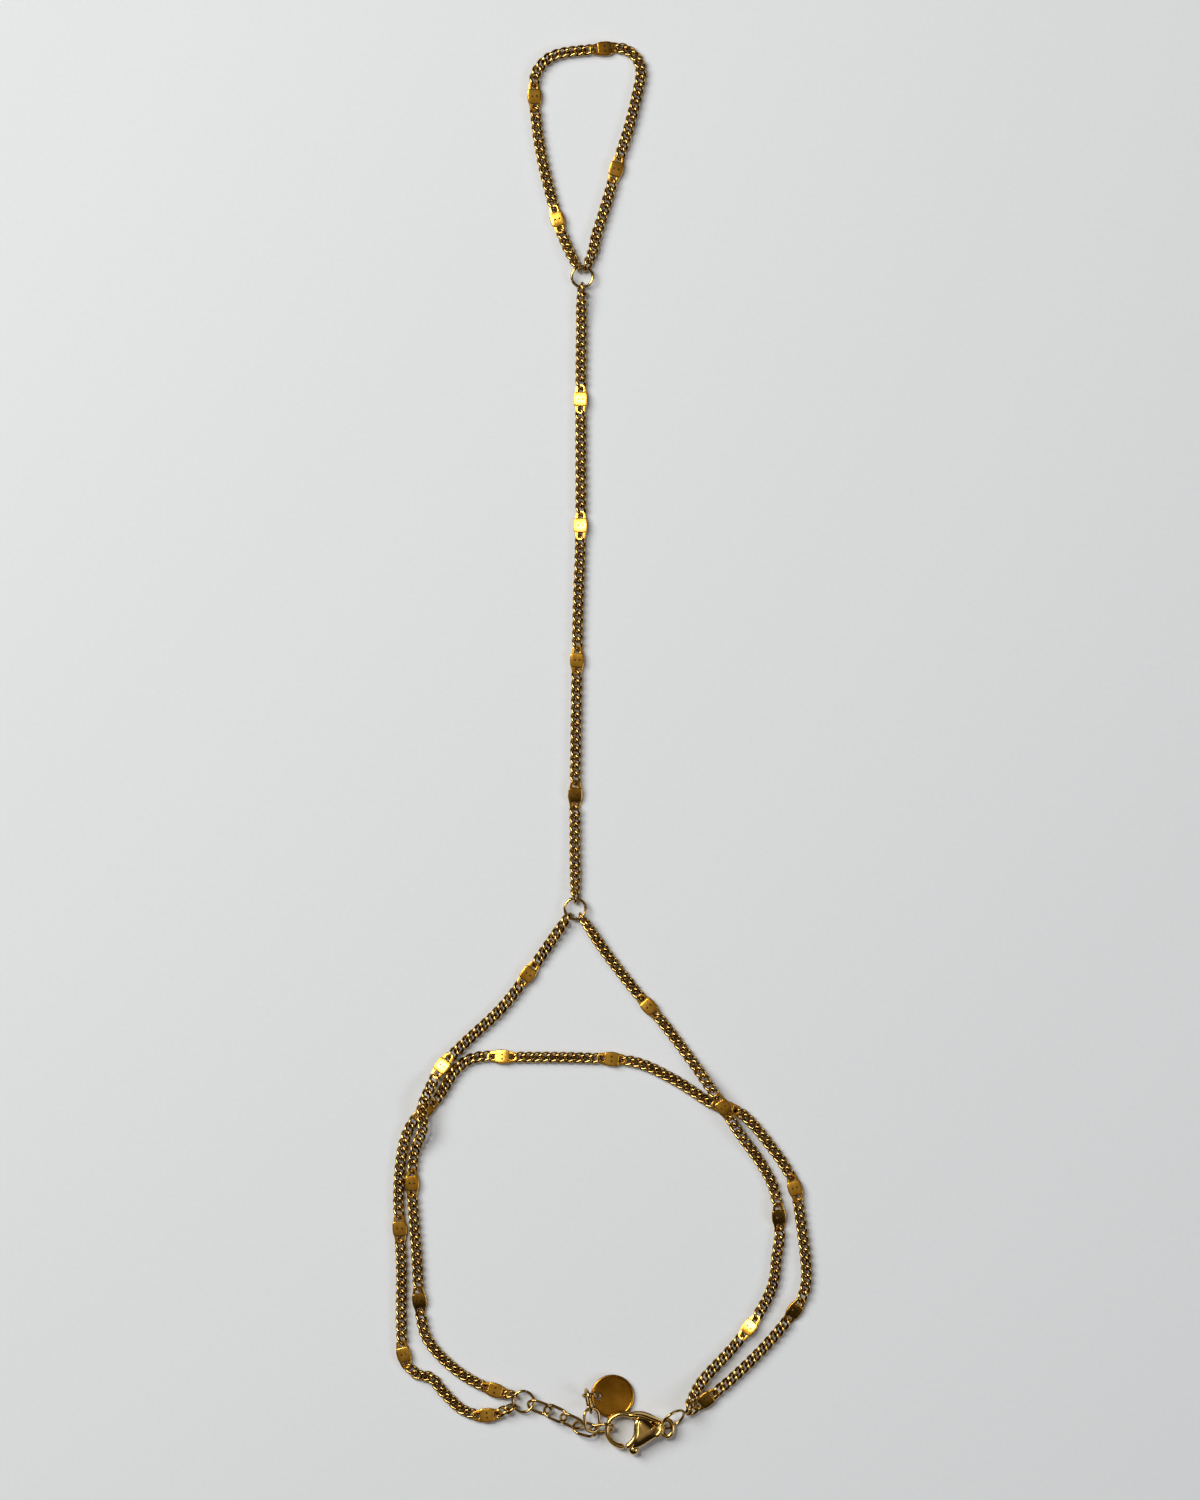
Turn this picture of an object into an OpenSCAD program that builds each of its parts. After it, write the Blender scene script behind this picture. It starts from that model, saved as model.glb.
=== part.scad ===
// Hand chain bracelet: a finger loop, a chain over the back of the hand, and two legs
// that end on a wrist strand, with a lobster clasp, an extender and a round tag.
// It lies flat on z = 0. Y runs from the wrist to the finger, X across the hand.

/* [Small links] */
// Wire of a small link
link_wire = 0.38; // [0.34:0.02:0.4]
// Length of the hole in a small link
link_hole_l = 1.54; // [1.5:0.02:1.6]
// Width of the hole in a small link
link_hole_w = 0.92; // [0.88:0.02:1]
// How far two small links can still be pulled apart
link_play = 0.34; // [0.32:0.02:0.36]
// Roll of a small link's ends, to one side and the other
link_twist = 70; // [66:1:74]

/* [Main links] */
// Width of a pressed main link at its middle
main_w = 2.1; // [1.8:0.1:2.6]
// Width of its two ends
main_end_w = 1.8; // [1.5:0.1:2]
// Length of its pressed middle
main_l = 2.2; // [2:0.1:2.3]
// Thickness of its pressed middle
main_t = 0.6; // [0.5:0.05:1]
// Small holes in its middle
main_hole_d = 0.45; // [0.3:0.05:0.6]
// Distance between those two holes
main_hole_gap = 0.8; // [0.7:0.05:1]

/* [Legs and wrist strand] */
// Width of a strand
strand_w = 1.7; // [1.4:0.1:2.2]
// Height of a strand
strand_h = 1.1; // [0.9:0.05:1.2]
// Gap between a strand's end and the ring it hangs on
strand_gap = 0.2; // [0.1:0.05:0.3]

/* [Jump rings] */
// Outer diameter of the rings at the finger, hand and extender
ring_d = 3.4; // [3.2:0.1:4.4]
// Wire of those rings
ring_wire = 0.42; // [0.36:0.01:0.44]
// Outer diameter of the ring at the clasp
clasp_ring_d = 4; // [3.6:0.1:5]
// Outer diameter of the tag's ring
tag_ring_d = 2.6; // [2.4:0.1:3]
// Wire of the tag's ring
tag_ring_wire = 0.32; // [0.26:0.02:0.36]
// Lean of the tag's ring from the surface
tag_ring_lean = 70; // [60:5:75]

/* [Extender] */
// Length of an extender link over its wires
ext_l = 3.8; // [3.7:0.05:4]
// Width of an extender link over its wires
ext_w = 2.7; // [2.6:0.05:2.9]
// Wire of an extender link
ext_wire = 0.43; // [0.36:0.01:0.46]

/* [Tag] */
// Diameter of the tag
tag_d = 6.2; // [5.6:0.1:8]
// Thickness of the tag inside its rim
tag_t = 0.45; // [0.4:0.05:0.5]
// Width of the tag's rim
tag_rim_w = 0.35; // [0.2:0.05:0.6]
// Height of the rim above the face
tag_rim_h = 0.08; // [0.04:0.02:0.2]
// Hole in the tag
tag_hole_d = 1.1; // [1:0.05:1.2]

/* [Clasp] */
// Radius of the claw along its wire
claw_r = 2.32; // [2.2:0.02:2.5]
// Wire of the claw
claw_wire = 0.72; // [0.6:0.02:0.8]
// Thickness of the clasp's body
body_t = 1.5; // [1.3:0.1:2]
// Thickness of the lever
lever_t = 0.7; // [0.5:0.05:0.8]
// Gap on each side of the lever in its slot
lever_gap = 0.05; // [0.03:0.01:0.1]
// Pin that the lever turns on
pin_d = 0.6; // [0.5:0.05:0.7]
// Gap round the pin in the lever
pin_gap = 0.04; // [0.02:0.01:0.08]
// Knob of the lever
knob_d = 1.34; // [1:0.02:1.4]
// Radius of the eye along its wire
eye_r = 1; // [0.9:0.05:1.1]
// Wire of the eye
eye_wire = 0.7; // [0.6:0.05:0.8]

/* [Hidden] */
gold = "#d9a640";
gold_light = "#e6bd5c";
gold_deep = "#b98528";
$fn = 32;

// Sides of a small link, and of its wire
link_sides = 10;
wire_sides = 5;
// How full the corners of a small link's oval are
link_fullness = 0.8;
// Sides of a strand, and the length between its rings
strand_sides = 8;
strand_step = 4;
// Steps of the smooth curve between two points of a route
curve_steps = 12;

link_pitch = link_hole_l - link_play;
link_r = link_wire / 2;
link_half_l = (link_hole_l + link_wire) / 2;
link_half_w = (link_hole_w + link_wire) / 2;
// Highest the wire of a twisted link rises over its middle, as a share of its half width
twist_rise = 0.55;
chain_h = 2 * twist_rise * link_half_w + link_wire;

// Routes of the strands, each point as across, along and height above the lying height
finger_route = [[-3.6, 68.7, 0.35], [-4.7, 70.9, 0.28], [-5.9, 73.9, 0.05], [-7.1, 78, 0],
    [-8.5, 83.7, 0], [-9.4, 89.3, 0], [-9.7, 95.3, 0], [-8.5, 97.9, 0], [-6.3, 99.2, 0],
    [-3, 99.7, 0], [-0.4, 99.9, 0], [1.6, 100.1, 0], [3.4, 99.8, 0], [4.8, 98.7, 0],
    [5.5, 96.8, 0], [5.1, 94.1, 0], [3.9, 89.1, 0], [2.4, 84.3, 0], [0.6, 78, 0], [-0.8, 73.5, 0.05],
    [-1.4, 71, 0.25], [-2.3, 68.8, 0.35]];
hand_route = [[-2.9, 65.9, 0.35], [-3, 63, 0.22], [-3, 59.9, 0.05], [-3.1, 49.6, 0],
    [-3.1, 31.6, 0], [-3.5, 18.9, 0], [-3.7, 7.3, 0], [-3.9, -6.3, 0], [-3.9, -15.4, 0.05],
    [-3.9, -18.4, 0.22], [-3.9, -21.3, 0.35]];
left_leg_route = [[-4.9, -24, 0.3], [-6.3, -26, 0], [-10.5, -32, 0], [-14.5, -37.1, 0],
    [-19.6, -41.9, 0], [-22.9, -45.3, 0.2], [-24.7, -48.6, 1.1], [-25.7, -51.3, 1.4],
    [-25.6, -54.2, 1.2], [-26.8, -57.6, 0.1], [-27.2, -61.7, 0], [-26.9, -67, 0],
    [-26.4, -74, 0], [-26.1, -79.1, 0], [-25.1, -84, 0], [-21.8, -87.9, 0],
    [-17.5, -90.7, 0.1], [-12.7, -92.3, 0.2]];
right_leg_route = [[-2.9, -24, 0.3], [0.6, -29.2, 0], [5, -34.9, 0], [8.5, -38.9, 0],
    [12.6, -44.3, 0.1], [15.1, -47.9, 1.1], [17.4, -51.3, 1.4], [19.4, -54.6, 1],
    [22.8, -59.4, 0], [24.6, -63.3, 0], [25.3, -68.7, 0], [24.9, -72.4, 0],
    [24.2, -76.9, 0], [21.8, -81.4, 0], [18.5, -85.6, 0], [14.4, -90, 0.3],
    [12.9, -92.3, 1], [12.1, -94, 1.6]];
wrist_route = [[-12.7, -94, 0.2], [-16.5, -95.1, 0], [-19.8, -94.4, 0], [-22.6, -91.9, 0],
    [-24.4, -89.8, 0], [-26.5, -89.2, 0], [-28.2, -87, 0], [-28.7, -82.3, 0],
    [-28.7, -73.7, 0], [-29.1, -64.4, 0], [-28.6, -57.6, 0], [-27.1, -53.4, 0],
    [-23.6, -49.9, 0], [-20.8, -45.7, 0], [-17.8, -44, 0], [-12.1, -44, 0],
    [-2.8, -44.1, 0], [4.6, -44.7, 0], [10.4, -47.3, 0], [15.8, -50.7, 0],
    [19.8, -52, 0], [23.8, -56.4, 0], [27.1, -61.6, 0], [28.4, -68, 0],
    [29.1, -75.9, 0], [27.4, -80.1, 0], [23.4, -85.1, 0], [18.4, -90, 0],
    [15.1, -92.6, 0.2], [12.6, -94.6, 0.4]];
// Places of the main links along the strands of real links, from the strand's first ring
finger_mains = [8, 25.1, 39.8, 61.5];
hand_mains = [16.3, 34.3, 53.7, 72.2];

// Centres of the rings
finger_ring_at = [-2.9, 67.4];
hand_ring_at = [-3.9, -22.8];
end_ring_at = [-11.3, -93.1];
end_ring_h = 1;
tag_hole_at = [-0.69, -92.4];
clasp_at = [3, -97.1];
clasp_lift = 0.6;

// One row a link: across, along, height, then turn, slope and roll in degrees
extender_rows = [
    [-9, -93.9, 1.05, -20, 0, 45],
    [-6.7, -94.8, 1.05, -25, 0, -45],
    [-4.4, -95.9, 1.05, -25, 0, 45],
    [-2.5, -97, 1.05, -15, 0, -45],
    [-0.1, -96.9, 1.4, 10, 10, 55],
    [-1.5, -95.6, 2, 95, 0, 25],
    [-2, -92.9, 2.2, 100, 5, 100]];

// Clasp's outline as circles, each as x, y and radius in shares of the claw's radius
body_rounds = claw_r * [[1.38, 0.54, 0.6], [0.73, 0.88, 0.26], [0.52, -0.84, 0.26], [1.85, 0.04, 0.41]];
mouth_round = claw_r * [-0.065, 0.043, 0.776];
pivot_at = claw_r * [1.6, -0.3];
gate_tip_at = claw_r * [0.13, -0.98];
knob_at = claw_r * [0.63, -1.25];
knob_root_at = claw_r * [0.73, -0.75];
// The lever's wall round its pin, its tip, and the room behind and above it in the body
lever_wall = 0.26;
pivot_round = pin_d / 2 + pin_gap + lever_wall;
gate_tip_round = 0.42 * claw_wire;
slot_back = 0.15;
slot_top = 0.2;
// The eye's wire runs into the body's end by a third
eye_at = [body_rounds[3][0] + body_rounds[3][2] + eye_r - eye_wire / 3, 0.11 * claw_r];
claw_from = 25;
claw_to = 263;

// A smooth curve through the points of a route
function curve_point(p, i, t) =
    let (a = p[max(i - 1, 0)], b = p[i], c = p[i + 1], d = p[min(i + 2, len(p) - 1)])
    0.5 * (2 * b + (c - a) * t + (2 * a - 5 * b + 4 * c - d) * t * t
        + (3 * b - 3 * c + d - a) * t * t * t);
function curve(p) = [
    for (i = [0:len(p) - 2])
        for (k = [0:curve_steps - 1]) curve_point(p, i, k / curve_steps),
    p[len(p) - 1]];
// Length along a curve up to each of its points
function run(c) = [for (i = 0, s = 0; i < len(c);
    s = s + (i + 1 < len(c) ? norm(c[i + 1] - c[i]) : 0), i = i + 1) s];
function total(r) = r[len(r) - 1];
function step_at(r, s) = max([for (i = [0:len(r) - 2]) if (i == 0 || r[i] <= s) i]);
function point_at(c, r, s) =
    let (i = step_at(r, s)) c[i] + (c[i + 1] - c[i]) * (s - r[i]) / (r[i + 1] - r[i]);

function unit(v) = v / norm(v);
// Frame at a distance s along a curve: place, then the ways along, across and up
function frame_at(c, r, s, reach) =
    let (a = point_at(c, r, max(s - reach, 0)), b = point_at(c, r, min(s + reach, total(r))),
        x = unit(b - a), y = unit(cross([0, 0, 1], x)))
    [point_at(c, r, s), x, y, cross(x, y)];
function placed(f, q) = f[0] + f[1] * q[0] + f[2] * q[1] + f[3] * q[2];
function rolled(f, a) =
    [f[0], f[1], f[2] * cos(a) + f[3] * sin(a), f[3] * cos(a) - f[2] * sin(a)];

// Wire centre of a small link at angle a round its oval
function link_point(a) =
    let (x = link_half_l * cos(a), roll = link_twist * x / link_half_l,
        w = link_half_w * sign(sin(a)) * pow(abs(sin(a)), link_fullness))
    [x, w * cos(roll), w * sin(roll)];
function ring_points(f) = [
    for (i = [0:link_sides - 1])
        let (a = (i + 0.5) * 360 / link_sides, da = 360 / link_sides, p = link_point(a),
            t = unit(link_point(a + da) - link_point(a - da)),
            n = unit(p - t * (p * t)), b = cross(t, n))
        for (k = [0:wire_sides - 1])
            let (g = k * 360 / wire_sides) placed(f, p + link_r * (n * cos(g) + b * sin(g)))];
function ring_faces(at) = [
    for (i = [0:link_sides - 1]) for (k = [0:wire_sides - 1])
        let (a = at + i * wire_sides + k, b = at + i * wire_sides + (k + 1) % wire_sides,
            c = at + ((i + 1) % link_sides) * wire_sides + (k + 1) % wire_sides,
            d = at + ((i + 1) % link_sides) * wire_sides + k)
        each [[a, c, b], [a, d, c]]];

// Roll of the last small link at each ring, and the number of links that it dies out over
ring_link_roll = 55;
roll_links = 5;
// Height of the finger and hand rings over the lying chain's middle
ring_rise = 0.3;

// Gap and distance from a ring's wire to the small link that holds it
ring_link_gap = 0.2;
ring_to_link = link_half_l - link_r - ring_wire / 2 - ring_link_gap;

// Height of a lying chain's middle
lying = chain_h / 2;
function lifted(route, h) = [for (p = route) p + [0, 0, h]];
function link_count(r) = round((total(r) - 2 * ring_to_link) / link_pitch) + 1;
function link_place(r, i) =
    ring_to_link + i * (total(r) - 2 * ring_to_link) / (link_count(r) - 1);
function main_number(r, s) =
    round((s - ring_to_link) / (total(r) - 2 * ring_to_link) * (link_count(r) - 1));

// Half a small link as a wire that ends in two straight stubs
module link_loop(stub) {
    path = concat([[-stub, -link_half_w, 0]],
        [for (i = [0:link_sides / 2]) link_point(i * 360 / link_sides - 90)],
        [[-stub, link_half_w, 0]]);
    last = len(path) - 1;
    polyhedron(
        points = [for (i = [0:last])
            let (t = unit(path[min(i + 1, last)] - path[max(i - 1, 0)]),
                n = unit(cross(t, [0, 0, 1])), b = cross(t, n))
            for (k = [0:wire_sides - 1])
                let (g = k * 360 / wire_sides) path[i] + link_r * (n * cos(g) + b * sin(g))],
        faces = concat([[for (k = [0:wire_sides - 1]) k]],
            [for (i = [0:last - 1]) for (k = [0:wire_sides - 1])
                let (a = i * wire_sides + k, b = i * wire_sides + (k + 1) % wire_sides)
                each [[a, b + wire_sides, b], [a, a + wire_sides, b + wire_sides]]],
            [[for (k = [wire_sides - 1:-1:0]) last * wire_sides + k]]));
}

module main_link() {
    bulge = (pow(main_l / 2, 2) + pow((main_w - main_end_w) / 2, 2)) / (main_w - main_end_w);
    difference() {
        translate([0, 0, -main_t / 2]) linear_extrude(main_t) intersection() {
            translate([0, main_w / 2 - bulge]) circle(r = bulge, $fn = 96);
            translate([0, bulge - main_w / 2]) circle(r = bulge, $fn = 96);
            square([main_l, 2 * main_w], center = true);
        }
        for (y = [-1, 1]) translate([0, y * main_hole_gap / 2, -main_t])
            cylinder(h = 2 * main_t, d = main_hole_d);
    }
    for (turn = [0, 180]) rotate([0, 0, turn]) translate([link_pitch, 0, 0])
        link_loop(link_pitch - main_l / 2 + link_wire);
}

// The end links stand in their ring and the next ones lie down step by step
function link_roll(i, count) =
    ring_link_roll * (max(0, 1 - (count - 1 - i) / roll_links) - max(0, 1 - i / roll_links));

// The small links of a strand, with room for a main link at each of the places in mains
module small_links(route, mains) {
    c = curve(lifted(route, lying));
    r = run(c);
    count = link_count(r);
    numbers = [for (s = mains) main_number(r, s)];
    frames = [for (i = [0:count - 1]) if (min([for (k = numbers) abs(i - k)]) > 1)
        rolled(frame_at(c, r, link_place(r, i), link_pitch / 2), link_roll(i, count))];
    size = link_sides * wire_sides;
    polyhedron(
        points = [for (f = frames) each ring_points(f)],
        faces = [for (i = [0:len(frames) - 1]) each ring_faces(i * size)]);
}

module main_links(route, mains) {
    c = curve(lifted(route, lying));
    r = run(c);
    for (s = mains) {
        f = frame_at(c, r, link_place(r, main_number(r, s)), link_pitch);
        translate(f[0]) rotate([0, -asin(f[1][2]), atan2(f[1][1], f[1][0])]) main_link();
    }
}

// A strand in one piece along its route
module plain_strand(route) {
    c = curve(lifted(route, strand_h / 2));
    r = run(c);
    from = ring_wire / 2 + strand_gap;
    count = ceil((total(r) - 2 * from) / strand_step);
    rings = [for (i = [0:count]) frame_at(c, r, from + i * (total(r) - 2 * from) / count, 0.5)];
    points = [for (f = rings) for (k = [0:strand_sides - 1])
        let (g = (k + 0.5) * 360 / strand_sides)
        placed(f, [0, strand_w / 2 * cos(g), strand_h / 2 * sin(g)])];
    last = count * strand_sides;
    polyhedron(
        points = points,
        faces = concat(
            [[for (k = [0:strand_sides - 1]) k]],
            [for (i = [0:count - 1]) for (k = [0:strand_sides - 1])
                let (a = i * strand_sides + k, b = i * strand_sides + (k + 1) % strand_sides)
                each [[a, a + strand_sides, b + strand_sides], [a, b + strand_sides, b]]],
            [[for (k = [strand_sides - 1:-1:0]) last + k]]));
}

module jump_ring(d, wire) {
    rotate_extrude() translate([(d - wire) / 2, 0]) circle(d = wire);
}

module extender_link() {
    bend = (ext_w - ext_wire) / 2;
    straight = ext_l - ext_w;
    for (turn = [0, 180]) rotate([0, 0, turn]) {
        translate([straight / 2, 0, 0]) rotate([0, 0, -90])
            rotate_extrude(angle = 180) translate([bend, 0]) circle(d = ext_wire);
        translate([-straight / 2, bend, 0]) rotate([0, 90, 0])
            cylinder(h = straight, d = ext_wire);
    }
}

module finger_chain() color(gold) small_links(finger_route, finger_mains);
module finger_main_links() color(gold_light) main_links(finger_route, finger_mains);
module hand_chain() color(gold) small_links(hand_route, hand_mains);
module hand_main_links() color(gold_light) main_links(hand_route, hand_mains);
module left_leg_chain() color(gold) plain_strand(left_leg_route);
module right_leg_chain() color(gold) plain_strand(right_leg_route);
module wrist_chain() color(gold) plain_strand(wrist_route);

module finger_ring() color(gold_light)
    translate([finger_ring_at[0], finger_ring_at[1], lying + ring_rise]) jump_ring(ring_d, ring_wire);
module hand_ring() color(gold_light)
    translate([hand_ring_at[0], hand_ring_at[1], lying + ring_rise]) jump_ring(ring_d, ring_wire);
module end_ring() color(gold_light)
    translate([end_ring_at[0], end_ring_at[1], end_ring_h]) jump_ring(ring_d, ring_wire);

module extender_chain() color(gold_deep)
    for (p = extender_rows) translate([p[0], p[1], p[2]]) rotate([0, 0, p[3]])
        rotate([0, -p[4], 0]) rotate([p[5], 0, 0]) extender_link();

// The tag lies from its hole, with a narrow web to the rim, and the hole's side is raised
tag_tilt = 6;
tag_web = 0.1;
tag_h = tag_d / 2 * sin(tag_tilt);
tag_hole_x = tag_d / 2 - tag_rim_w - tag_hole_d / 2 - tag_web;
tag_at = [tag_hole_at[0] + tag_hole_x * cos(tag_tilt), tag_hole_at[1]];
module tag() color(gold_light)
    translate([tag_at[0], tag_at[1], tag_h]) rotate([0, tag_tilt, 0]) difference() {
        union() {
            cylinder(h = tag_t, d = tag_d);
            difference() {
                cylinder(h = tag_t + tag_rim_h, d = tag_d);
                translate([0, 0, tag_t / 2])
                    cylinder(h = tag_t + tag_rim_h, d = tag_d - 2 * tag_rim_w);
            }
        }
        translate([-tag_hole_x, 0, -tag_t]) cylinder(h = 3 * tag_t, d = tag_hole_d);
    }

// The ring passes the hole's centre at half the tag's thickness and stands on the surface
module tag_ring() {
    r = (tag_ring_d - tag_ring_wire) / 2;
    mid = r * sin(tag_ring_lean) + tag_ring_wire / 2;
    hole_x = tag_hole_at[0] + tag_t / 2 * sin(tag_tilt);
    hole_h = tag_h + tag_hole_x * sin(tag_tilt) + tag_t / 2 * cos(tag_tilt);
    lift = (hole_h - mid) / (r * sin(tag_ring_lean));
    out = r * sqrt(1 - lift * lift);
    color(gold) translate([hole_x - out, tag_at[1] - r * lift * cos(tag_ring_lean), mid])
        rotate([tag_ring_lean, 0, 0]) jump_ring(tag_ring_d, tag_ring_wire);
}

clasp_h = body_t / 2 + clasp_lift;
module in_clasp() translate([clasp_at[0], clasp_at[1], clasp_h]) children();
slot_t = lever_t + 2 * lever_gap;

module clasp_body() color(gold) in_clasp() difference() {
    union() {
        translate([0, 0, -body_t / 2]) linear_extrude(body_t) difference() {
            hull() for (p = body_rounds) translate([p[0], p[1]]) circle(r = p[2]);
            translate([mouth_round[0], mouth_round[1]]) circle(r = mouth_round[2]);
        }
        rotate([0, 0, claw_from]) rotate_extrude(angle = claw_to - claw_from)
            translate([claw_r, 0]) circle(d = claw_wire);
        translate([eye_at[0], eye_at[1], 0]) jump_ring(2 * eye_r + eye_wire, eye_wire);
    }
    translate([-2 * claw_r, -2 * claw_r, -slot_t / 2])
        cube([2 * claw_r + pivot_at[0] + pivot_round + slot_back, 2 * claw_r + slot_top, slot_t]);
    translate([pivot_at[0], pivot_at[1], -body_t])
        cylinder(h = 2 * body_t, d = pin_d + 2 * pin_gap);
}

module clasp_lever() color(gold_light) in_clasp() translate([0, 0, -lever_t / 2])
    linear_extrude(lever_t) difference() {
        union() {
            hull() {
                translate(pivot_at) circle(r = pivot_round);
                translate(gate_tip_at) circle(r = gate_tip_round);
            }
            hull() {
                translate(knob_at) circle(d = knob_d);
                translate(knob_root_at) circle(r = gate_tip_round);
            }
        }
        translate(pivot_at) circle(d = pin_d + 2 * pin_gap);
    }

module clasp_pin() color(gold_deep) in_clasp()
    translate([pivot_at[0], pivot_at[1], -body_t / 2]) cylinder(h = body_t, d = pin_d);

// The clasp's ring stands through the eye, leaning
clasp_ring_turn = 39;
clasp_ring_lean = 58;
clasp_ring_pass = 201;
module clasp_ring() {
    r = (clasp_ring_d - ring_wire) / 2;
    color(gold_light) in_clasp() translate([eye_at[0], eye_at[1], 0])
        rotate([0, 0, clasp_ring_turn]) rotate([clasp_ring_lean, 0, 0])
        translate([-r * cos(clasp_ring_pass), -r * sin(clasp_ring_pass), 0])
        jump_ring(clasp_ring_d, ring_wire);
}

finger_chain();
finger_main_links();
finger_ring();
hand_chain();
hand_main_links();
hand_ring();
left_leg_chain();
right_leg_chain();
wrist_chain();
end_ring();
extender_chain();
tag_ring();
tag();
clasp_body();
clasp_lever();
clasp_pin();
clasp_ring();
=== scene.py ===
import math

import bpy
import numpy as np
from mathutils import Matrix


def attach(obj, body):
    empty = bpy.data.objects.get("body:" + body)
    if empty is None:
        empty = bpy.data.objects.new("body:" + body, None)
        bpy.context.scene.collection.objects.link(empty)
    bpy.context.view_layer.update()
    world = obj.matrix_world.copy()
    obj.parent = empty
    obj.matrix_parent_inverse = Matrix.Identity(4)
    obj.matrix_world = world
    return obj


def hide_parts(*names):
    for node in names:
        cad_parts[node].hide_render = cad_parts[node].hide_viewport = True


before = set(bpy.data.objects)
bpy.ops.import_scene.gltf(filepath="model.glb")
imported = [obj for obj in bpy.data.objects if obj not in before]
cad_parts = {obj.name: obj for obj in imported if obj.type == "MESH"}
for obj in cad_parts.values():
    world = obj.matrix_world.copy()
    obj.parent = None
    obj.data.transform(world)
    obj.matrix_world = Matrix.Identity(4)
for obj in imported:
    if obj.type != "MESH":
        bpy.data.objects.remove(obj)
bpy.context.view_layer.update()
mm = 0.001
print("frame loaded")


def toLinear(hexColour):
    # sRGB hex to the linear values that the shader wants
    parts = [int(hexColour[i:i + 2], 16) / 255 for i in (1, 3, 5)]
    return [c / 12.92 if c <= 0.04045 else ((c + 0.055) / 1.055) ** 2.4 for c in parts] + [1.0]


def addNode(tree, kind, settings=None, links=None):
    # one node with its settings, input values (by name or number) and incoming links
    node = tree.nodes.new(kind)
    for key, value in (settings or {}).items():
        if isinstance(key, int) or key in node.inputs:
            node.inputs[key].default_value = value
        else:
            setattr(node, key, value)
    for socket, source in (links or {}).items():
        tree.links.new(source, node.inputs[socket])
    return node


mixFrom, mixTo, mixResult = 6, 7, 2  # the colour sockets of a mix node


def meshOf(name, points, faces):
    mesh = bpy.data.meshes.new(name)
    mesh.from_pydata([tuple(p) for p in points], [], faces)
    return mesh


def addObject(name, data):
    thing = bpy.data.objects.new(name, data)
    bpy.context.scene.collection.objects.link(thing)
    return thing


# materials

# every coated piece's grain; real grit is too fine to show, so each gritMm is several times as coarse
grain = {
    "mottleDetail": 3.0, "mottleRoughness": 0.55, "mottleFrom": 0.3, "mottleTo": 0.7,
    "gritDetail": 4.0, "gritRoughness": 0.6, "gritFrom": 0.25, "gritTo": 0.75,
}


def platedSteel(name, finish):
    # stainless steel with a gold-coloured vapour coating, drawn, pressed or cast and then tumbled:
    # mirror-like highlights, faintly mottled tone, soft fine grit that blurs the dark reflections
    material = bpy.data.materials.new(name)
    material.use_nodes = True
    tree = material.node_tree
    tree.nodes.clear()
    coords = addNode(tree, "ShaderNodeTexCoord").outputs["Object"]
    # mottle: the coating's uneven tone; with the tag's broad, strong setting it is partly painted light and
    # shade across the face
    mottle = addNode(tree, "ShaderNodeTexNoise", {
        "Scale": 1 / (finish["mottleMm"] * mm),
        "Detail": grain["mottleDetail"], "Roughness": grain["mottleRoughness"],
    }, {"Vector": coords})
    tone = addNode(tree, "ShaderNodeMapRange", {
        "From Min": grain["mottleFrom"], "From Max": grain["mottleTo"],
    }, {"Value": mottle.outputs["Fac"]})
    colour = addNode(tree, "ShaderNodeMix", {
        "data_type": "RGBA", mixFrom: toLinear(finish["colour"]), mixTo: toLinear(finish["deepColour"]),
    }, {"Factor": tone.outputs["Result"]})
    grit = addNode(tree, "ShaderNodeTexNoise", {
        "Scale": 1 / (finish["gritMm"] * mm),
        "Detail": grain["gritDetail"], "Roughness": grain["gritRoughness"],
    }, {"Vector": coords})
    rough = addNode(tree, "ShaderNodeMapRange", {
        "From Min": grain["gritFrom"], "From Max": grain["gritTo"],
        "To Min": finish["roughness"] - finish["spread"], "To Max": finish["roughness"] + finish["spread"],
    }, {"Value": grit.outputs["Fac"]})
    bump = addNode(tree, "ShaderNodeBump", {
        "Strength": finish["bump"], "Distance": finish["bumpMm"] * mm,
    }, {"Height": grit.outputs["Fac"]})
    shader = addNode(tree, "ShaderNodeBsdfPrincipled", {"Metallic": 1.0}, {
        "Base Color": colour.outputs[mixResult], "Roughness": rough.outputs["Result"],
        "Normal": bump.outputs["Normal"],
    })
    addNode(tree, "ShaderNodeOutputMaterial", None, {"Surface": shader.outputs["BSDF"]})
    return material


# drawn wire: near a mirror, so each link shows bright and dark lines side by side
wireFinish = {
    "colour": "#C4A461", "deepColour": "#98753A", "mottleMm": 1.6,
    "gritMm": 0.12, "roughness": 0.12, "spread": 0.03, "bump": 0.12, "bumpMm": 0.004,
}
# pressed sheet: flat faces with a soft sheen, warm where they don't catch the light
pressedFinish = {
    "colour": "#D8AA48", "deepColour": "#B78026", "mottleMm": 1.2,
    "gritMm": 0.2, "roughness": 0.2, "spread": 0.05, "bump": 0.3, "bumpMm": 0.008,
}
# cast and tumbled: round edges with long, smooth highlights
castFinish = {
    "colour": "#E3C077", "deepColour": "#CDA354", "mottleMm": 2.2,
    "gritMm": 0.3, "roughness": 0.17, "spread": 0.03, "bump": 0.06, "bumpMm": 0.004,
}
# stamped disc: a satin face; its broad, strong mottle is partly the coating's uneven tone and partly painted
# light and shade, lighter and darker patches across the face
stampedFinish = {
    "colour": "#C88F2E", "deepColour": "#86540B", "mottleMm": 4.0,
    "gritMm": 0.22, "roughness": 0.27, "spread": 0.06, "bump": 0.3, "bumpMm": 0.008,
}
chainMetal = platedSteel("gold_coated_drawn_steel_wire", wireFinish)
plateMetal = platedSteel("gold_coated_pressed_steel", pressedFinish)
claspMetal = platedSteel("gold_coated_cast_steel", castFinish)
tagMetal = platedSteel("gold_coated_stamped_steel", stampedFinish)


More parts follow.
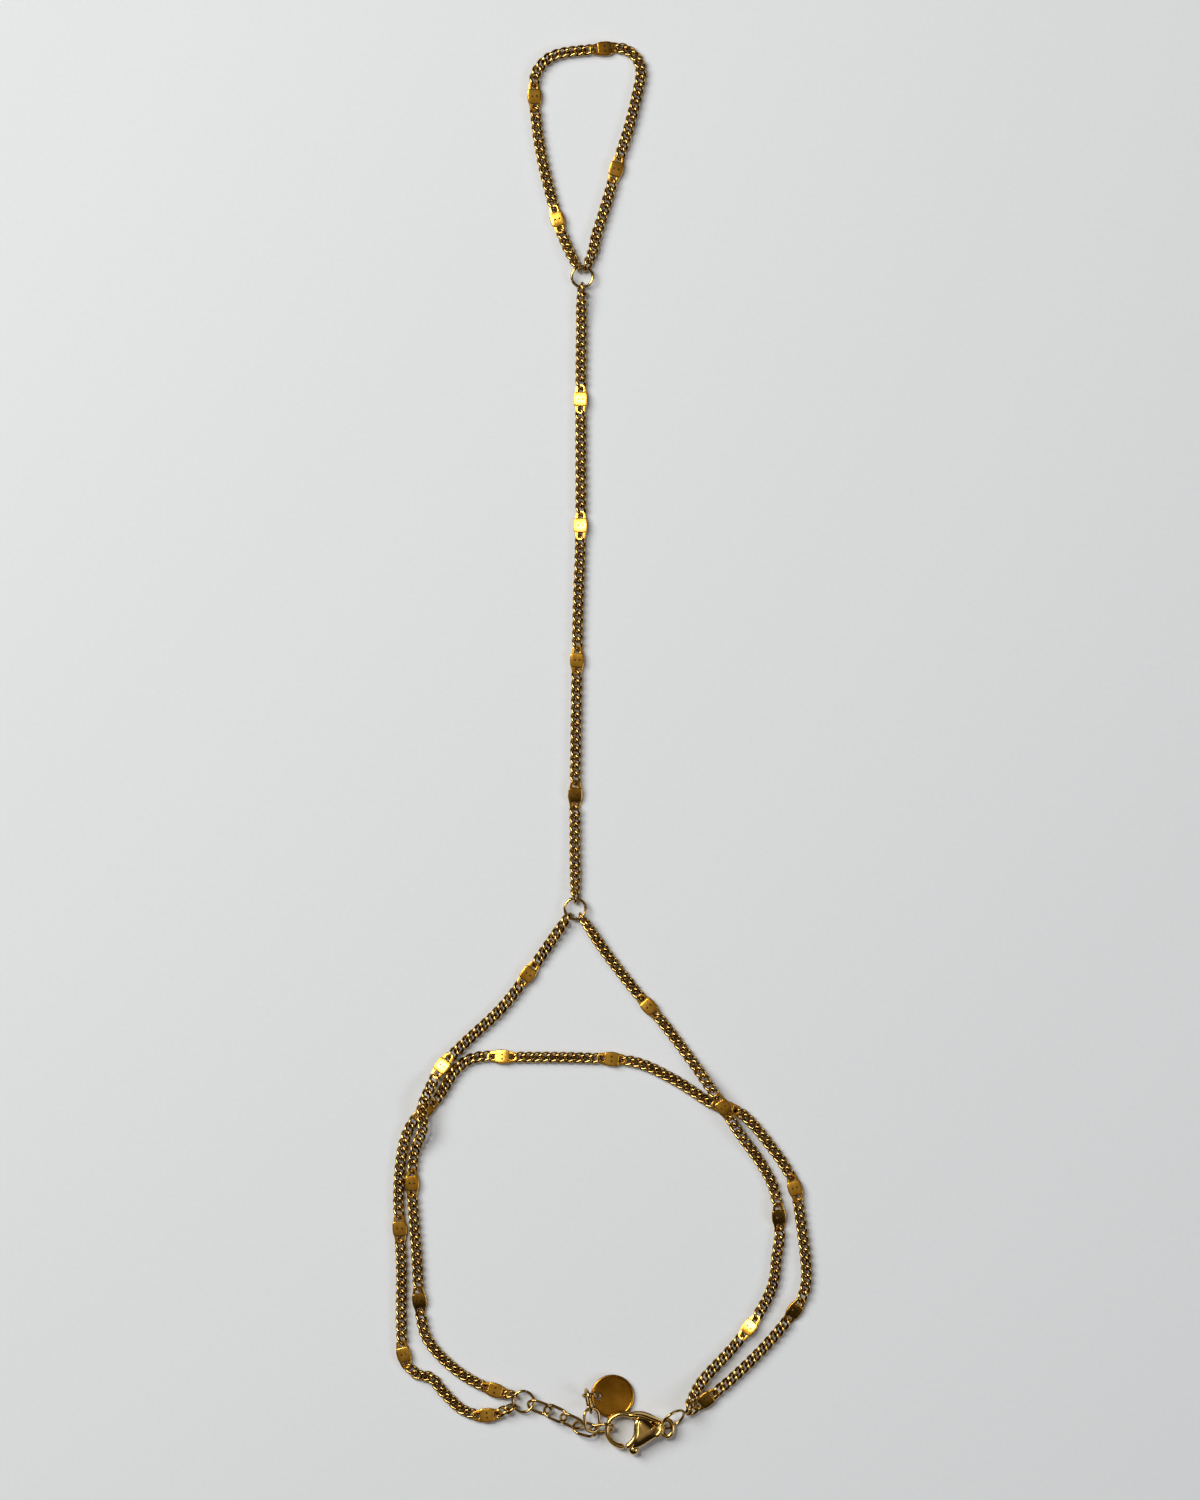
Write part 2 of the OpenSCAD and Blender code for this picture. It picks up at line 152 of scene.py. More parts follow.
def paperBoard(name, sheet):
    # uncoated board, smooth and slightly cool: matt, with a very faint fibre tooth
    material = bpy.data.materials.new(name)
    material.use_nodes = True
    tree = material.node_tree
    tree.nodes.clear()
    coords = addNode(tree, "ShaderNodeTexCoord").outputs["Object"]
    fibre = addNode(tree, "ShaderNodeTexNoise", {
        "Scale": 1 / (sheet["fibreMm"] * mm), "Detail": sheet["fibreDetail"],
    }, {"Vector": coords})
    tone = addNode(tree, "ShaderNodeMix", {
        "data_type": "RGBA", mixFrom: toLinear(sheet["colour"]), mixTo: toLinear(sheet["shade"]),
    }, {"Factor": fibre.outputs["Fac"]})
    bump = addNode(tree, "ShaderNodeBump", {
        "Strength": sheet["tooth"], "Distance": sheet["toothMm"] * mm,
    }, {"Height": fibre.outputs["Fac"]})
    shader = addNode(tree, "ShaderNodeBsdfPrincipled", {"Roughness": sheet["roughness"]}, {
        "Base Color": tone.outputs[mixResult], "Normal": bump.outputs["Normal"],
    })
    addNode(tree, "ShaderNodeOutputMaterial", None, {"Surface": shader.outputs["BSDF"]})
    return material


print("materials made")

# stage: floor, camera and lights, in metres where no unit is named

board = {
    "size": 6.0, "belowMm": 0.01, "colour": "#D7DADC", "shade": "#D1D4D7",
    "fibreMm": 0.6, "fibreDetail": 5.0, "tooth": 0.15, "toothMm": 0.02, "roughness": 0.75,
}
side, level = board["size"] / 2, -board["belowMm"] * mm
corners = [(-side, -side, level), (side, -side, level), (side, side, level), (-side, side, level)]
floor = addObject("floor", meshOf("floor", corners, [(0, 1, 2, 3)]))
floor.data.materials.append(paperBoard("uncoated_board", board))

# looks straight down, as the photograph does; originPx is the pixel over the frame's origin
photoView = {
    "pxPerMm": 7.0, "wide": 1200, "high": 1500, "originPx": (602.5, 749.0), "height": 0.8, "sensorMm": 24.0,
}
cameraData = bpy.data.cameras.new("camera")
cameraData.sensor_fit = "VERTICAL"
cameraData.sensor_height = photoView["sensorMm"]
cameraData.lens = photoView["height"] * photoView["sensorMm"] / (photoView["high"] / photoView["pxPerMm"] * mm)
camera = addObject("camera", cameraData)
camera.location = (
    (photoView["wide"] / 2 - photoView["originPx"][0]) / photoView["pxPerMm"] * mm,
    (photoView["originPx"][1] - photoView["high"] / 2) / photoView["pxPerMm"] * mm, photoView["height"])
bpy.context.scene.camera = camera

softLights = [
    {"name": "window", "at": (-0.75, 0.45, 0.8), "size": 0.7, "energy": 12.0, "colour": "#FFFFFF"},
    {"name": "panel", "at": (-0.26, 0.26, 0.85), "size": 0.2, "energy": 3.0, "colour": "#FFFBF2"},
    {"name": "fill", "at": (0.9, -0.3, 0.8), "size": 0.6, "energy": 3.4, "colour": "#F2F5FF"},
]
for light in softLights:
    data = bpy.data.lights.new(light["name"], "AREA")
    data.shape = "DISK"
    data.size = light["size"]
    data.energy = light["energy"]
    data.color = toLinear(light["colour"])[:3]
    lamp = addObject(light["name"], data)
    x, y, z = light["at"]
    lamp.location = light["at"]
    # turned to shine on the origin
    lamp.rotation_euler = (math.atan2(math.hypot(x, y), z), 0, math.atan2(y, x) + math.pi / 2)

# dark walls, and a paler ceiling that starts at "from" of the way to straight up
room = {"horizon": "#211C18", "zenith": "#A3988A", "strength": 1.0, "from": 0.88}
world = bpy.data.worlds.new("room")
bpy.context.scene.world = world
world.use_nodes = True
sky = world.node_tree
skyWay = addNode(sky, "ShaderNodeTexCoord").outputs["Generated"]
skyHeight = addNode(sky, "ShaderNodeSeparateXYZ", None, {"Vector": skyWay}).outputs["Z"]
skyRise = addNode(sky, "ShaderNodeMapRange", {"From Min": room["from"]}, {"Value": skyHeight})
skyTone = addNode(sky, "ShaderNodeMix", {
    "data_type": "RGBA", mixFrom: toLinear(room["horizon"]), mixTo: toLinear(room["zenith"]),
}, {"Factor": skyRise.outputs["Result"]})
background = sky.nodes["Background"]
background.inputs["Strength"].default_value = room["strength"]
sky.links.new(skyTone.outputs[mixResult], background.inputs["Color"])
bpy.context.scene.view_settings.view_transform = "Standard"
print("stage set")

# shaping helpers, all in millimetres until makePiece

upward = np.array([0, 0, 1.0])


def unit(v):
    return v / np.linalg.norm(v)


def runOf(path):
    # length along a path, at each of its points
    return np.concatenate([[0], np.cumsum(np.linalg.norm(np.diff(path, axis=0), axis=1))])


def allRound(count):
    return np.linspace(0, 2 * math.pi, count, endpoint=False)


def arc(turns, radii, at):
    # level points round a circle or an ellipse
    return np.stack([radii[0] * np.cos(turns), radii[1] * np.sin(turns), 0 * turns], 1) + at


def smoothCurve(points, steps=12, closed=False):
    # passes through every point, with even tangents between its neighbours
    points = np.array(points, float)
    last = len(points) - 1
    result = []
    for i in range(last + closed):
        if closed:
            a, b, c, d = (points[(i + k) % (last + 1)] for k in (-1, 0, 1, 2))
        else:
            a, b, c, d = points[max(i - 1, 0)], points[i], points[i + 1], points[min(i + 2, last)]
        for k in range(steps):
            t = k / steps
            result.append(0.5 * (2 * b + (c - a) * t + (2 * a - 5 * b + 4 * c - d) * t * t
                                 + (3 * b - 3 * c + d - a) * t ** 3))
    if not closed:
        result.append(points[last])
    return np.array(result)


def tubeAround(path, radii, sides, closed, up=None):
    # round or oval wire along a path; radii is one radius, or one (across, upright) pair a ring
    if closed:
        tangent = np.roll(path, -1, 0) - np.roll(path, 1, 0)
    else:
        tangent = np.gradient(path, axis=0)
    tangent /= np.linalg.norm(tangent, axis=1)[:, None]
    centre = path.mean(0)
    radii = np.broadcast_to(radii, (len(path), 2))
    points = []
    for p, t, (wide, high) in zip(path, tangent, radii):
        n = (p - centre) if up is None else np.cross(t, up)
        n = unit(n - t * np.dot(n, t))
        b = np.cross(t, n)
        for k in range(sides):
            g = 2 * math.pi * k / sides
            points.append(p + wide * n * math.cos(g) + high * b * math.sin(g))
    rings = len(path)
    faces = []
    for i in range(rings if closed else rings - 1):
        j = (i + 1) % rings
        for k in range(sides):
            m = (k + 1) % sides
            faces.append((i * sides + k, i * sides + m, j * sides + m, j * sides + k))
    if not closed:
        faces.append(tuple(range(sides - 1, -1, -1)))
        faces.append(tuple((rings - 1) * sides + k for k in range(sides)))
    return np.array(points), faces


def rounded(path, size, tip=0.02):
    # the size of a bar along its path, falling away to a round end at both ends
    run = runOf(path)
    size = np.broadcast_to(size, (len(path), 2))
    depth = np.minimum(run, run[-1] - run) / size[:, 0]
    return size * np.sqrt(np.clip(1 - (1 - np.minimum(depth, 1)) ** 2, tip, 1))[:, None]


def bar(through, size, steps=16, sides=20):
    # round-ended bar through a few points, its size given once or at each point
    path = smoothCurve(through, steps)
    size = smoothCurve(size, steps) if np.ndim(size) == 2 else size
    return tubeAround(path, rounded(path, size), sides, False, upward)


def pillow(outline, form, rings=10):
    # swollen up and down from the outline at its seam; a low square gives flatter faces
    outline = np.array(outline)
    middle, seam = np.array(form["middle"]), form["seam"]
    count = len(outline)
    points, faces = [], []
    for k in range(1 - rings, rings):
        turn = math.pi / 2 * k / rings
        inward = math.cos(turn) ** form["square"]
        height = seam + form["rise" if k > 0 else "drop"] * math.sin(turn)
        points += [(*(middle + (p - middle) * inward), height) for p in outline]
    top = (2 * rings - 2) * count
    for row in range(0, top, count):
        for i in range(count):
            j = (i + 1) % count
            faces.append((row + i, row + j, row + count + j, row + count + i))
    low, high = len(points), len(points) + 1
    points += [(*middle, seam - form["drop"]), (*middle, seam + form["rise"])]
    for i in range(count):
        j = (i + 1) % count
        faces += [(j, i, low), (top + i, top + j, high)]
    return np.array(points), faces


def turned(section, sides):
    # closed form turned about Z from (radius, height) pairs, the first and last on the axis
    spin = [(math.cos(t), math.sin(t)) for t in allRound(sides)]
    points = [(0, 0, section[0][1]), (0, 0, section[-1][1])]
    points += [(r * c, r * s, z) for r, z in section[1:-1] for c, s in spin]
    last = len(points) - sides
    faces = [(0, 2 + i, 2 + (i + 1) % sides) for i in range(sides)]
    for row in range(2, last, sides):
        for i in range(sides):
            j = (i + 1) % sides
            faces.append((row + i, row + sides + i, row + sides + j, row + j))
    faces += [(1, last + (i + 1) % sides, last + i) for i in range(sides)]
    return np.array(points), faces


def gather(parts):
    # several (points, faces) as one
    points, faces, start = [], [], 0
    for p, f in parts:
        points.append(p)
        faces += [tuple(i + start for i in face) for face in f]
        start += len(p)
    return np.concatenate(points), faces


def reshaped(thing, changes, helpers=()):
    # points and faces of a temporary object after its modifiers
    for kind, settings in changes:
        change = thing.modifiers.new(kind.lower(), kind)
        for key, value in settings.items():
            setattr(change, key, value)
    shape = thing.evaluated_get(bpy.context.evaluated_depsgraph_get())
    mesh = shape.to_mesh()
    result = np.array([v.co[:] for v in mesh.vertices]), [tuple(p.vertices) for p in mesh.polygons]
    shape.to_mesh_clear()
    for spare in (thing, *helpers):
        bpy.data.objects.remove(spare)
    return result


def drilled(points, faces, places, diameter, reach=2, step=15):
    # the same solid with round holes through it along Z
    turns = np.radians(np.arange(0, 360, step))
    rim = np.stack([np.cos(turns), np.sin(turns)], 1) * diameter / 2
    count = len(rim)
    drillFaces = [tuple(range(count - 1, -1, -1)), tuple(range(count, 2 * count))]
    drillFaces += [(i, (i + 1) % count, count + (i + 1) % count, count + i) for i in range(count)]
    drills = []
    for place in places:
        ring = rim + place
        ends = [np.c_[ring, np.full(count, height)] for height in (-reach, reach)]
        drills.append((np.concatenate(ends), drillFaces))
    drill = addObject("drill", meshOf("drill", *gather(drills)))
    blank = addObject("blank", meshOf("blank", points, faces))
    cut = {"operation": "DIFFERENCE", "solver": "EXACT", "object": drill}
    return reshaped(blank, [("BOOLEAN", cut)], [drill])


def stamped(outlines, thickness, edge, edgeSteps=3):
    # flat sheet inside the first outline and outside the others, with rounded edges
    curve = bpy.data.curves.new("sheet", "CURVE")
    curve.dimensions = "2D"
    curve.fill_mode = "BOTH"
    curve.extrude = thickness / 2 - edge
    curve.bevel_depth = edge
    curve.bevel_resolution = edgeSteps
    curve.offset = -edge
    for outline in outlines:
        spline = curve.splines.new("POLY")
        spline.points.add(len(outline) - 1)
        for point, (x, y) in zip(spline.points, outline):
            point.co = (x, y, 0, 1)
        spline.use_cyclic_u = True
    return reshaped(addObject("sheet", curve), [])


def cast(parts, voxel, smoothing):
    # overlapping closed forms melted into one smooth body
    blank = addObject("blank", meshOf("blank", *gather(parts)))
    melt = {"mode": "VOXEL", "voxel_size": voxel}
    return reshaped(blank, [("REMESH", melt), ("SMOOTH", {"factor": 0.5, "iterations": smoothing})])


def makePiece(name, points, faces, material, slot, replaces=None, rides="bracelet", sharp=180):
    # a visible piece, back in metres; edges steeper than sharp degrees stay crisp
    mesh = meshOf(name, np.array(points) * mm, faces)
    mesh.materials.append(material)
    mesh.shade_smooth()
    if sharp < 180:
        mesh.set_sharp_from_angle(angle=math.radians(sharp))
    piece = addObject(name, mesh)
    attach(piece, rides)
    if replaces:
        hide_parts(replaces)


# the route that a strand follows, the same as the solids'

jumpRing = {"d": 3.4, "wire": 0.42, "toLink": 0.2, "seam": 0.04, "steps": 96, "sides": 16, "sharp": 50}
smallLink = {
    "wire": 0.46, "holeLength": 1.34, "holeWidth": 0.76, "pitch": 1.2,
    "twist": -57.0, "slant": 0.5, "fullness": 0.85,
    "endRoll": -50.0, "rollLinks": 4,  # the last links turn to lie through their jump ring
    "steps": 32, "sides": 10,
}
solidLink = {"halfLength": 0.96, "wire": 0.38, "halfWidth": 0.65, "rise": 0.55}
pitch = smallLink["pitch"]
halfLength = (smallLink["holeLength"] + smallLink["wire"]) / 2
halfWidth = (smallLink["holeWidth"] + smallLink["wire"]) / 2
lying = solidLink["rise"] * solidLink["halfWidth"] + solidLink["wire"] / 2
ringToLink = solidLink["halfLength"] - (solidLink["wire"] + jumpRing["wire"]) / 2 - jumpRing["toLink"]


class Strand:
    # a route with evenly spaced link places between its two jump rings
    def __init__(self, route):
        self.curve = smoothCurve(route) + [0, 0, lying]
        self.run = runOf(self.curve)
        self.length = self.run[-1]
        self.count = round((self.length - 2 * ringToLink) / pitch) + 1

    def pointAt(self, s):
        return np.array([np.interp(s, self.run, self.curve[:, k]) for k in range(3)])

    def place(self, i):
        return ringToLink + i * (self.length - 2 * ringToLink) / (self.count - 1)

    def number(self, s):
        return round((s - ringToLink) / (self.length - 2 * ringToLink) * (self.count - 1))

    def roll(self, i):
        end, links = smallLink["endRoll"], smallLink["rollLinks"]
        return end * (max(0, 1 - (self.count - 1 - i) / links) - max(0, 1 - i / links))

    def along(self, i, reach):
        s = self.place(i)
        return unit(self.pointAt(min(s + reach, self.length)) - self.pointAt(max(s - reach, 0)))

    def frameAt(self, i):
        # place, then the ways along, across and up, rolled about the strand near its ends
        along = self.along(i, pitch / 2)
        across = unit(np.cross(upward, along))
        up = np.cross(along, across)
        turn = math.radians(self.roll(i))
        c, s = math.cos(turn), math.sin(turn)
        return self.pointAt(self.place(i)), np.array([along, across * c + up * s, up * c - across * s])

    def facing(self, i, normal):
        # place and ways of a flat piece that faces along the normal
        along = self.along(i, pitch)
        across = unit(np.cross(normal, along))
        return self.pointAt(self.place(i)), np.array([np.cross(across, normal), across, normal])


def placed(base, at, ways, floorGap=0.01):
    # a shape set in place, and raised where it would dip under the surface
    points = base @ ways + at
    points[:, 2] += max(0.0, floorGap - points[:, 2].min())
    return points


def linkPath(angles):
    # centre of the wire of a twisted oval link that leans along the strand
    angles = np.radians(angles)
    x = halfLength * np.cos(angles)
    w = halfWidth * np.sign(np.sin(angles)) * np.abs(np.sin(angles)) ** smallLink["fullness"]
    roll = np.radians(smallLink["twist"]) * x / halfLength
    return np.stack([x + smallLink["slant"] * w * np.cos(roll), w * np.cos(roll), w * np.sin(roll)], 1)


linkTurns = (np.arange(smallLink["steps"]) + 0.5) * 360 / smallLink["steps"]
linkPoints, linkFaces = tubeAround(linkPath(linkTurns), smallLink["wire"] / 2, smallLink["sides"], True)

# main link: a stamped plate open at both ends, with a raised barrel that has two small holes

mainLink = {
    "plate": [(0, 0.98), (0.7, 0.95), (1.2, 0.82), (1.7, 0.72), (2.05, 0.5), (2.18, 0)],
    "eye": [(1.05, 0), (1.12, 0.3), (1.45, 0.34), (1.72, 0.24), (1.8, 0)],
    "plateThick": 0.36, "plateEdge": 0.1,
    "barrel": [(0, 1.03), (0.55, 1.0), (0.92, 0.88), (1.05, 0.6), (1.06, 0)],
    "barrelThick": 0.6, "barrelEdge": 0.13,
    "hole": 0.3, "holeGap": 0.66, "wobble": 0.03, "sharp": 35,
}


def mirrored(quarter):
    # a closed outline from its upper right quarter
    right = quarter + [(x, -y) for x, y in quarter[-2::-1]]
    return right + [(-x, y) for x, y in right[-2:0:-1]]


def loopOf(half):
    # a closed outline from its upper half
    return half + [(x, -y) for x, y in half[-2:0:-1]]


plateOutline = smoothCurve(mirrored(mainLink["plate"]), 5, True)
eyeOutline = smoothCurve(loopOf(mainLink["eye"]), 4, True)
drillAt = [(0, mainLink["holeGap"] / 2), (0, -mainLink["holeGap"] / 2)]
eyes = [eyeOutline, eyeOutline * [-1, 1]]
plateBlank = stamped([plateOutline, *eyes], mainLink["plateThick"], mainLink["plateEdge"])
barrelOutline = smoothCurve(mirrored(mainLink["barrel"]), 5, True)
barrelBlank = stamped([barrelOutline], mainLink["barrelThick"], mainLink["barrelEdge"])
plateBody, barrelBody = (drilled(*blank, drillAt, mainLink["hole"]) for blank in (plateBlank, barrelBlank))
mainPoints, mainFaces = gather([plateBody, barrelBody])
print("link shapes made:", len(linkFaces), "and", len(mainFaces), "faces")

# the five strands, in millimetres; mains are the main links' places along the route, and a glint
# is how far each turns to the panel light: 1 for a full flash, 0 level, below 0 dark

strands = {
    "finger": {
        "replaces": "finger_chain", "platesReplace": "finger_main_links", "mains": [8, 25.1, 39.8, 61.5],
        "glints": [0.45, -0.3, -1, -0.5],
        "route": [
            (-3.6, 68.7, 0.35), (-4.7, 70.9, 0.28), (-5.9, 73.9, 0.05), (-7.1, 78, 0), (-8.5, 83.7, 0),
            (-9.4, 89.3, 0), (-9.7, 95.3, 0), (-8.5, 97.9, 0), (-6.3, 99.2, 0), (-3, 99.7, 0),
            (-0.4, 99.9, 0), (1.6, 100.1, 0), (3.4, 99.8, 0), (4.8, 98.7, 0), (5.5, 96.8, 0),
            (5.1, 94.1, 0), (3.9, 89.1, 0), (2.4, 84.3, 0), (0.6, 78, 0), (-0.8, 73.5, 0.05),
            (-1.4, 71, 0.25), (-2.3, 68.8, 0.35)],
    },
    "hand": {
        "replaces": "hand_chain", "platesReplace": "hand_main_links", "mains": [16.3, 34.3, 53.7, 72.2],
        "glints": [1, 1, 0, -1],
        "route": [
            (-2.9, 65.9, 0.35), (-3, 63, 0.22), (-3, 59.9, 0.05), (-3.1, 49.6, 0), (-3.1, 31.6, 0),
            (-3.5, 18.9, 0), (-3.7, 7.3, 0), (-3.9, -6.3, 0), (-3.9, -15.4, 0.05), (-3.9, -18.4, 0.22),
            (-3.9, -21.3, 0.35)],
    },
    "left_leg": {
        "replaces": "left_leg_chain", "mains": [9.8, 28, 45.7, 63.1, 81.3],
        "glints": [0.1, 1, 0.1, -0.6, 0.2],
        "route": [
            (-4.9, -24, 0.3), (-6.3, -26, 0), (-10.5, -32, 0), (-14.5, -37.1, 0), (-19.6, -41.9, 0),
            (-22.9, -45.3, 0.2), (-24.7, -48.6, 1.1), (-25.7, -51.3, 1.4), (-25.6, -54.2, 1.2),
            (-26.8, -57.6, 0.1), (-27.2, -61.7, 0), (-26.9, -67, 0), (-26.4, -74, 0), (-26.1, -79.1, 0),
            (-25.1, -84, 0), (-21.8, -87.9, 0), (-17.5, -90.7, 0.1), (-12.7, -92.3, 0.2)],
    },
    "right_leg": {
        "replaces": "right_leg_chain", "mains": [16.2, 34.2, 52.1, 69],
        "glints": [0.1, -0.3, -1, 0.9],
        "route": [
            (-2.9, -24, 0.3), (0.6, -29.2, 0), (5, -34.9, 0), (8.5, -38.9, 0), (12.6, -44.3, 0.1),
            (15.1, -47.9, 1.1), (17.4, -51.3, 1.4), (19.4, -54.6, 1), (22.8, -59.4, 0), (24.6, -63.3, 0),
            (25.3, -68.7, 0), (24.9, -72.4, 0), (24.2, -76.9, 0), (21.8, -81.4, 0), (18.5, -85.6, 0),
            (14.4, -90, 0.3), (12.9, -92.3, 1), (12.1, -94, 1.6)],
    },
    "wrist": {
        "replaces": "wrist_chain", "mains": [4, 19.9, 37.1, 55.8, 69.4, 86, 103.2, 119.6, 137.2, 154.8],
        "glints": [0.3, 0.1, 0.1, -0.5, 0.6, 0.1, 0.2, 0.2, -1, -0.6],
        "route": [
            (-12.7, -94, 0.2), (-16.5, -95.1, 0), (-19.8, -94.4, 0), (-22.6, -91.9, 0), (-24.4, -89.8, 0),
            (-26.5, -89.2, 0), (-28.2, -87, 0), (-28.7, -82.3, 0), (-28.7, -73.7, 0), (-29.1, -64.4, 0),
            (-28.6, -57.6, 0), (-27.1, -53.4, 0), (-23.6, -49.9, 0), (-20.8, -45.7, 0), (-17.8, -44, 0),
            (-12.1, -44, 0), (-2.8, -44.1, 0), (4.6, -44.7, 0), (10.4, -47.3, 0), (15.8, -50.7, 0),
            (19.8, -52, 0), (23.8, -56.4, 0), (27.1, -61.6, 0), (28.4, -68, 0), (29.1, -75.9, 0),
            (27.4, -80.1, 0), (23.4, -85.1, 0), (18.4, -90, 0), (15.1, -92.6, 0.2), (12.6, -94.6, 0.4)],
    },
}
cameraAt = np.array(camera.location) / mm
panelAt = np.array([light["at"] for light in softLights if light["name"] == "panel"][0]) / mm
chance = np.random.default_rng(7)

for name, strand in strands.items():
    run = Strand(strand["route"])
    numbers = [run.number(s) for s in strand["mains"]]
    links = [(placed(linkPoints, *run.frameAt(i)), linkFaces)
             for i in range(run.count) if min(abs(i - k) for k in numbers) > 1]
    makePiece(name + "_small_links", *gather(links), chainMetal, "chain", strand["replaces"])
    plates = []
    for k, glint in zip(numbers, strand["glints"]):
        at = run.pointAt(run.place(k))
        mirrorWay = unit(unit(cameraAt - at) + unit(panelAt - at))
        # a plate in full flash stays exact, the others lie a little uneven
        wobble = np.append(chance.uniform(-mainLink["wobble"], mainLink["wobble"], 2) * (glint < 1), 0)
        normal = unit(upward * (1 - glint) + mirrorWay * glint + wobble)
        plates.append((placed(mainPoints, *run.facing(k, normal)), mainFaces))
    makePiece(name + "_plates", *gather(plates), plateMetal, "plates", strand.get("platesReplace"),
              sharp=mainLink["sharp"])
    print(name, "strand:", run.count, "places,", len(plates), "main links")

# jump rings, with the fine seam where each is closed, at an angle in degrees

rings = [
    {"name": "finger_jump_ring", "replaces": "finger_ring", "at": (-2.9, 67.4, lying + 0.3), "seamAt": 200},
    {"name": "hand_jump_ring", "replaces": "hand_ring", "at": (-3.9, -22.8, lying + 0.3), "seamAt": 20},
    {"name": "end_jump_ring", "replaces": "end_ring", "at": (-11.3, -93.1, 1.0), "seamAt": 75},
]
ringRadius = (jumpRing["d"] - jumpRing["wire"]) / 2
seamTurn = jumpRing["seam"] / 2 / ringRadius
for ring in rings:
    start = math.radians(ring["seamAt"])
    turns = np.linspace(start + seamTurn, start + 2 * math.pi - seamTurn, jumpRing["steps"] + 1)
    path = arc(turns, (ringRadius, ringRadius), ring["at"])
    wire = tubeAround(path, jumpRing["wire"] / 2, jumpRing["sides"], False, upward)
    makePiece(ring["name"], *wire, chainMetal, "rings", ring["replaces"], sharp=jumpRing["sharp"])
print("jump rings closed")

# clasp: cast body of two cheeks, claw and eye, melted together; the lever's slot stays open

clasp = {
    "cheek": {"middle": (5.9, -97.5), "seam": 1.76, "rise": 0.66, "drop": 0.04, "square": 0.9},
    "back": {"middle": (6.2, -96.6), "seam": 0.78, "rise": 0.17, "drop": 0.17, "square": 0.2},
    "cheekOutline": [
        (5.32, -95.2), (4.79, -95.5), (4.66, -96.14), (4.5, -96.86), (4.43, -97.57), (4.2, -98.2),
        (3.84, -98.73), (3.5, -99.3), (4.07, -99.62), (4.79, -99.67), (5.5, -99.44), (6.39, -98.91),
        (7.11, -98.46), (7.5, -98.2), (7.9, -97.9), (8.36, -97.13), (8.6, -96.4), (8.5, -96),
        (8.09, -96.09), (7.64, -96.4), (7.29, -96.32), (6.66, -95.79), (5.94, -95.34)],
    "backOutline": [
        (3.55, -94.85), (4.43, -94.5), (5.68, -94.5), (6.66, -94.78), (7.46, -95.2), (8.36, -95.65),
        (8.9, -96.2), (8.4, -97.5), (7.3, -98.35), (5.9, -98.7), (4.9, -98.3), (4.75, -97.6),
        (4.9, -97.11), (4.65, -96.13), (3.93, -95.42)],
    "bars": [
        # round tail beyond the slot, ridge over it, and shoulder along the back of the claw
        {"through": [(8.7, -95.95, 1.45), (8.5, -96.6, 1.45), (8.25, -97.2, 1.45), (7.75, -98.05, 1.45)],
         "size": (0.42, 0.84)},
        {"through": [(8.85, -95.8, 1.98), (8.35, -96.85, 1.84), (7.6, -98.15, 1.95)],
         "size": [(0.36, 0.34), (0.3, 0.34), (0.36, 0.34)]},
        {"through": [(3.6, -94.98, 1.35), (4.9, -95.02, 1.38), (5.9, -95.18, 1.4), (7.2, -95.65, 1.35),
                     (8.75, -96.25, 1.3)],
         "size": [(0.45, 0.6), (0.46, 0.68), (0.5, 0.7), (0.45, 0.66), (0.4, 0.6)]},
        # rolled lip of the cheek, and the neck from the cheek to the eye
        {"through": [(5.4, -95.45, 1.85), (4.98, -95.95, 2.0), (4.88, -96.7, 2.06), (4.85, -97.5, 2.1),
                     (4.55, -98.35, 2.1), (3.9, -99.15, 2.08), (3.32, -99.5, 2.02)],
         "size": (0.42, 0.36)},
        {"through": [(6.0, -97.3, 1.85), (7.3, -97.15, 1.86), (8.7, -96.85, 1.8)],
         "size": [(0.9, 0.4), (0.72, 0.38), (0.9, 0.34)]},
    ],
    "claw": {"at": (2.957, -97.11, 1.35), "radius": 2.32, "from": 50, "to": 275, "steps": 90, "sides": 24,
             "size": (0.36, 0.48), "endSwell": (0.07, 0.08)},
    "eye": {"at": (9.21, -96.86, 1.2), "radii": (0.8, 1.2), "wire": 0.66, "steps": 48, "sides": 20},
    "voxel": 0.06, "smoothing": 5,
}
claw, eye = clasp["claw"], clasp["eye"]
share = np.linspace(0, 1, claw["steps"] + 1)
clawTurns = np.radians(claw["from"] + (claw["to"] - claw["from"]) * share)
clawPath = arc(clawTurns, (claw["radius"], claw["radius"]), claw["at"])
clawSize = np.array(claw["size"]) + np.outer(np.abs(2 * share - 1) ** 2, claw["endSwell"])
eyePath = arc(allRound(eye["steps"]), eye["radii"], eye["at"])
claspBody = cast([
    pillow(smoothCurve(clasp["cheekOutline"], 5, True), clasp["cheek"]),
    pillow(smoothCurve(clasp["backOutline"], 5, True), clasp["back"]),
    *[bar(**form) for form in clasp["bars"]],
    tubeAround(clawPath, rounded(clawPath, clawSize), claw["sides"], False, upward),
    tubeAround(eyePath, eye["wire"] / 2, eye["sides"], True, upward),
], clasp["voxel"], clasp["smoothing"])
makePiece("clasp_cast_body", *claspBody, claspMetal, "clasp", "clasp_body")
print("clasp body cast:", len(claspBody[1]), "faces")

# lever: flat gate that turns on the pin, with a round thumb knob

